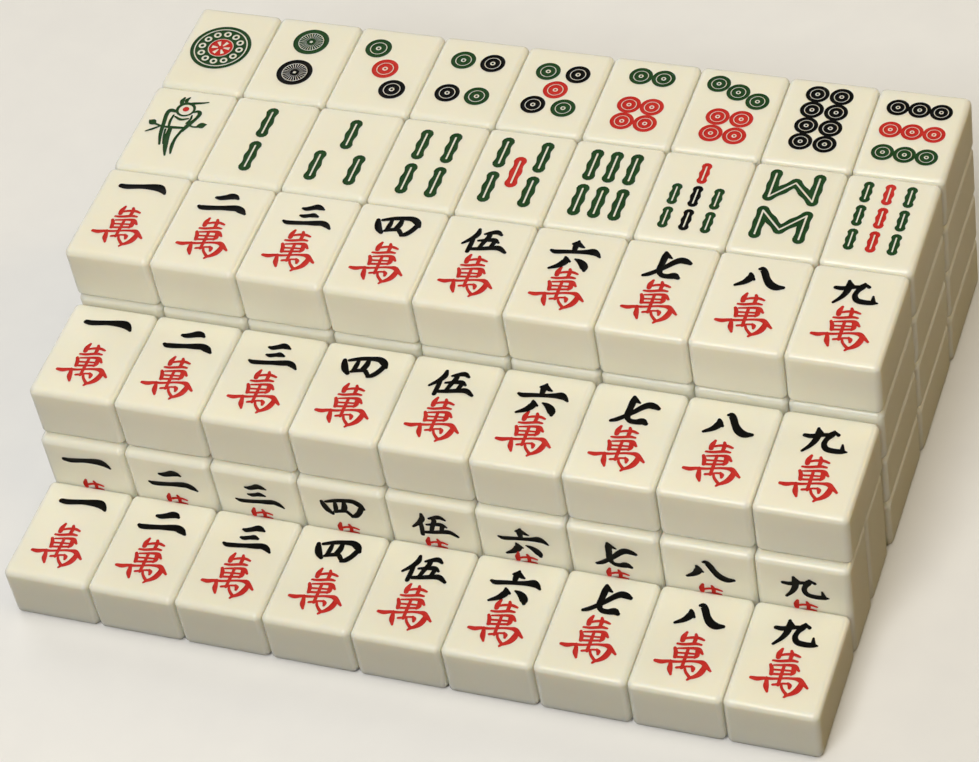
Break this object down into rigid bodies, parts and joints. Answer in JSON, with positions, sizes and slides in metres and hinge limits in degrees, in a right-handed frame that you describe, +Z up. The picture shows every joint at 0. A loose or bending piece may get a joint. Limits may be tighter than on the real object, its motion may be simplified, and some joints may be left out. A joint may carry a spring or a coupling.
{
  "type": "mahjong set",
  "caption": "Mahjong set stacked for keeping: rounded ivory tiles in long rows, a stepped block of flat rows with standing rows in front; tiles and rows lift off.",
  "frame": {"origin": "middle of the stack's footprint, on the table", "axes": "+X along the rows, left to right for a player in front; +Y from the front row to the back; +Z up"},
  "size_m": [0.2732, 0.2066, 0.084],
  "materials": {
    "tile": "polished"
  },
  "bodies": {
    "block_base": {"honour_layer_1": "tile", "bamboo_layer_1": "tile", "dot_layer_1": "tile"},
    "standing_rows": {"standing_character_row": "tile", "standing_flower_row": "tile"},
    "honour_row_2": {"honour_layer_2": "tile"},
    "honour_row_3": {"honour_layer_3": "tile"},
    "bamboo_row_2": {"bamboo_layer_2": "tile"},
    "bamboo_row_3": {"bamboo_layer_3": "tile"},
    "dot_row_2": {"dot_layer_2": "tile"},
    "dot_row_3": {"dot_layer_3": "tile"},
    "front_character_1": {"front_character_1": "tile"},
    "front_character_2": {"front_character_2": "tile"},
    "front_character_3": {"front_character_3": "tile"},
    "front_character_4": {"front_character_4": "tile"},
    "front_character_5": {"front_character_5": "tile"},
    "front_character_6": {"front_character_6": "tile"},
    "front_character_7": {"front_character_7": "tile"},
    "front_character_8": {"front_character_8": "tile"},
    "front_character_9": {"front_character_9": "tile"},
    "ledge_character_1": {"ledge_character_1": "tile"},
    "ledge_character_2": {"ledge_character_2": "tile"},
    "ledge_character_3": {"ledge_character_3": "tile"},
    "ledge_character_4": {"ledge_character_4": "tile"},
    "ledge_character_5": {"ledge_character_5": "tile"},
    "ledge_character_6": {"ledge_character_6": "tile"},
    "ledge_character_7": {"ledge_character_7": "tile"},
    "ledge_character_8": {"ledge_character_8": "tile"},
    "ledge_character_9": {"ledge_character_9": "tile"},
    "top_character_1": {"top_character_1": "tile"},
    "top_character_2": {"top_character_2": "tile"},
    "top_character_3": {"top_character_3": "tile"},
    "top_character_4": {"top_character_4": "tile"},
    "top_character_5": {"top_character_5": "tile"},
    "top_character_6": {"top_character_6": "tile"},
    "top_character_7": {"top_character_7": "tile"},
    "top_character_8": {"top_character_8": "tile"},
    "top_character_9": {"top_character_9": "tile"},
    "top_bamboo_1": {"top_bamboo_1": "tile"},
    "top_bamboo_2": {"top_bamboo_2": "tile"},
    "top_bamboo_3": {"top_bamboo_3": "tile"},
    "top_bamboo_4": {"top_bamboo_4": "tile"},
    "top_bamboo_5": {"top_bamboo_5": "tile"},
    "top_bamboo_6": {"top_bamboo_6": "tile"},
    "top_bamboo_7": {"top_bamboo_7": "tile"},
    "top_bamboo_8": {"top_bamboo_8": "tile"},
    "top_bamboo_9": {"top_bamboo_9": "tile"},
    "top_dot_1": {"top_dot_1": "tile"},
    "top_dot_2": {"top_dot_2": "tile"},
    "top_dot_3": {"top_dot_3": "tile"},
    "top_dot_4": {"top_dot_4": "tile"},
    "top_dot_5": {"top_dot_5": "tile"},
    "top_dot_6": {"top_dot_6": "tile"},
    "top_dot_7": {"top_dot_7": "tile"},
    "top_dot_8": {"top_dot_8": "tile"},
    "top_dot_9": {"top_dot_9": "tile"}
  },
  "joints": [
    {"name": "standing_rows_lift", "type": "slide", "parent": "block_base", "child": "standing_rows", "axis": [0, 0, 1], "range_m": [0, 0.045]},
    {"name": "honour_row_2_lift", "type": "slide", "parent": "block_base", "child": "honour_row_2", "axis": [0, 0, 1], "range_m": [0, 0.026]},
    {"name": "honour_row_3_lift", "type": "slide", "parent": "honour_row_2", "child": "honour_row_3", "axis": [0, 0, 1], "range_m": [0, 0.026]},
    {"name": "bamboo_row_2_lift", "type": "slide", "parent": "block_base", "child": "bamboo_row_2", "axis": [0, 0, 1], "range_m": [0, 0.026]},
    {"name": "bamboo_row_3_lift", "type": "slide", "parent": "bamboo_row_2", "child": "bamboo_row_3", "axis": [0, 0, 1], "range_m": [0, 0.026]},
    {"name": "dot_row_2_lift", "type": "slide", "parent": "block_base", "child": "dot_row_2", "axis": [0, 0, 1], "range_m": [0, 0.026]},
    {"name": "dot_row_3_lift", "type": "slide", "parent": "dot_row_2", "child": "dot_row_3", "axis": [0, 0, 1], "range_m": [0, 0.026]},
    {"name": "front_character_1_lift", "type": "slide", "parent": "block_base", "child": "front_character_1", "axis": [0, 0, 1], "range_m": [0, 0.026]},
    {"name": "front_character_2_lift", "type": "slide", "parent": "block_base", "child": "front_character_2", "axis": [0, 0, 1], "range_m": [0, 0.026]},
    {"name": "front_character_3_lift", "type": "slide", "parent": "block_base", "child": "front_character_3", "axis": [0, 0, 1], "range_m": [0, 0.026]},
    {"name": "front_character_4_lift", "type": "slide", "parent": "block_base", "child": "front_character_4", "axis": [0, 0, 1], "range_m": [0, 0.026]},
    {"name": "front_character_5_lift", "type": "slide", "parent": "block_base", "child": "front_character_5", "axis": [0, 0, 1], "range_m": [0, 0.026]},
    {"name": "front_character_6_lift", "type": "slide", "parent": "block_base", "child": "front_character_6", "axis": [0, 0, 1], "range_m": [0, 0.026]},
    {"name": "front_character_7_lift", "type": "slide", "parent": "block_base", "child": "front_character_7", "axis": [0, 0, 1], "range_m": [0, 0.026]},
    {"name": "front_character_8_lift", "type": "slide", "parent": "block_base", "child": "front_character_8", "axis": [0, 0, 1], "range_m": [0, 0.026]},
    {"name": "front_character_9_lift", "type": "slide", "parent": "block_base", "child": "front_character_9", "axis": [0, 0, 1], "range_m": [0, 0.026]},
    {"name": "ledge_character_1_lift", "type": "slide", "parent": "standing_rows", "child": "ledge_character_1", "axis": [0, 0, 1], "range_m": [0, 0.026]},
    {"name": "ledge_character_2_lift", "type": "slide", "parent": "standing_rows", "child": "ledge_character_2", "axis": [0, 0, 1], "range_m": [0, 0.026]},
    {"name": "ledge_character_3_lift", "type": "slide", "parent": "standing_rows", "child": "ledge_character_3", "axis": [0, 0, 1], "range_m": [0, 0.026]},
    {"name": "ledge_character_4_lift", "type": "slide", "parent": "standing_rows", "child": "ledge_character_4", "axis": [0, 0, 1], "range_m": [0, 0.026]},
    {"name": "ledge_character_5_lift", "type": "slide", "parent": "standing_rows", "child": "ledge_character_5", "axis": [0, 0, 1], "range_m": [0, 0.026]},
    {"name": "ledge_character_6_lift", "type": "slide", "parent": "standing_rows", "child": "ledge_character_6", "axis": [0, 0, 1], "range_m": [0, 0.026]},
    {"name": "ledge_character_7_lift", "type": "slide", "parent": "standing_rows", "child": "ledge_character_7", "axis": [0, 0, 1], "range_m": [0, 0.026]},
    {"name": "ledge_character_8_lift", "type": "slide", "parent": "standing_rows", "child": "ledge_character_8", "axis": [0, 0, 1], "range_m": [0, 0.026]},
    {"name": "ledge_character_9_lift", "type": "slide", "parent": "standing_rows", "child": "ledge_character_9", "axis": [0, 0, 1], "range_m": [0, 0.026]},
    {"name": "top_character_1_lift", "type": "slide", "parent": "honour_row_3", "child": "top_character_1", "axis": [0, 0, 1], "range_m": [0, 0.026]},
    {"name": "top_character_2_lift", "type": "slide", "parent": "honour_row_3", "child": "top_character_2", "axis": [0, 0, 1], "range_m": [0, 0.026]},
    {"name": "top_character_3_lift", "type": "slide", "parent": "honour_row_3", "child": "top_character_3", "axis": [0, 0, 1], "range_m": [0, 0.026]},
    {"name": "top_character_4_lift", "type": "slide", "parent": "honour_row_3", "child": "top_character_4", "axis": [0, 0, 1], "range_m": [0, 0.026]},
    {"name": "top_character_5_lift", "type": "slide", "parent": "honour_row_3", "child": "top_character_5", "axis": [0, 0, 1], "range_m": [0, 0.026]},
    {"name": "top_character_6_lift", "type": "slide", "parent": "honour_row_3", "child": "top_character_6", "axis": [0, 0, 1], "range_m": [0, 0.026]},
    {"name": "top_character_7_lift", "type": "slide", "parent": "honour_row_3", "child": "top_character_7", "axis": [0, 0, 1], "range_m": [0, 0.026]},
    {"name": "top_character_8_lift", "type": "slide", "parent": "honour_row_3", "child": "top_character_8", "axis": [0, 0, 1], "range_m": [0, 0.026]},
    {"name": "top_character_9_lift", "type": "slide", "parent": "honour_row_3", "child": "top_character_9", "axis": [0, 0, 1], "range_m": [0, 0.026]},
    {"name": "top_bamboo_1_lift", "type": "slide", "parent": "bamboo_row_3", "child": "top_bamboo_1", "axis": [0, 0, 1], "range_m": [0, 0.026]},
    {"name": "top_bamboo_2_lift", "type": "slide", "parent": "bamboo_row_3", "child": "top_bamboo_2", "axis": [0, 0, 1], "range_m": [0, 0.026]},
    {"name": "top_bamboo_3_lift", "type": "slide", "parent": "bamboo_row_3", "child": "top_bamboo_3", "axis": [0, 0, 1], "range_m": [0, 0.026]},
    {"name": "top_bamboo_4_lift", "type": "slide", "parent": "bamboo_row_3", "child": "top_bamboo_4", "axis": [0, 0, 1], "range_m": [0, 0.026]},
    {"name": "top_bamboo_5_lift", "type": "slide", "parent": "bamboo_row_3", "child": "top_bamboo_5", "axis": [0, 0, 1], "range_m": [0, 0.026]},
    {"name": "top_bamboo_6_lift", "type": "slide", "parent": "bamboo_row_3", "child": "top_bamboo_6", "axis": [0, 0, 1], "range_m": [0, 0.026]},
    {"name": "top_bamboo_7_lift", "type": "slide", "parent": "bamboo_row_3", "child": "top_bamboo_7", "axis": [0, 0, 1], "range_m": [0, 0.026]},
    {"name": "top_bamboo_8_lift", "type": "slide", "parent": "bamboo_row_3", "child": "top_bamboo_8", "axis": [0, 0, 1], "range_m": [0, 0.026]},
    {"name": "top_bamboo_9_lift", "type": "slide", "parent": "bamboo_row_3", "child": "top_bamboo_9", "axis": [0, 0, 1], "range_m": [0, 0.026]},
    {"name": "top_dot_1_lift", "type": "slide", "parent": "dot_row_3", "child": "top_dot_1", "axis": [0, 0, 1], "range_m": [0, 0.026]},
    {"name": "top_dot_2_lift", "type": "slide", "parent": "dot_row_3", "child": "top_dot_2", "axis": [0, 0, 1], "range_m": [0, 0.026]},
    {"name": "top_dot_3_lift", "type": "slide", "parent": "dot_row_3", "child": "top_dot_3", "axis": [0, 0, 1], "range_m": [0, 0.026]},
    {"name": "top_dot_4_lift", "type": "slide", "parent": "dot_row_3", "child": "top_dot_4", "axis": [0, 0, 1], "range_m": [0, 0.026]},
    {"name": "top_dot_5_lift", "type": "slide", "parent": "dot_row_3", "child": "top_dot_5", "axis": [0, 0, 1], "range_m": [0, 0.026]},
    {"name": "top_dot_6_lift", "type": "slide", "parent": "dot_row_3", "child": "top_dot_6", "axis": [0, 0, 1], "range_m": [0, 0.026]},
    {"name": "top_dot_7_lift", "type": "slide", "parent": "dot_row_3", "child": "top_dot_7", "axis": [0, 0, 1], "range_m": [0, 0.026]},
    {"name": "top_dot_8_lift", "type": "slide", "parent": "dot_row_3", "child": "top_dot_8", "axis": [0, 0, 1], "range_m": [0, 0.026]},
    {"name": "top_dot_9_lift", "type": "slide", "parent": "dot_row_3", "child": "top_dot_9", "axis": [0, 0, 1], "range_m": [0, 0.026]}
  ]
}
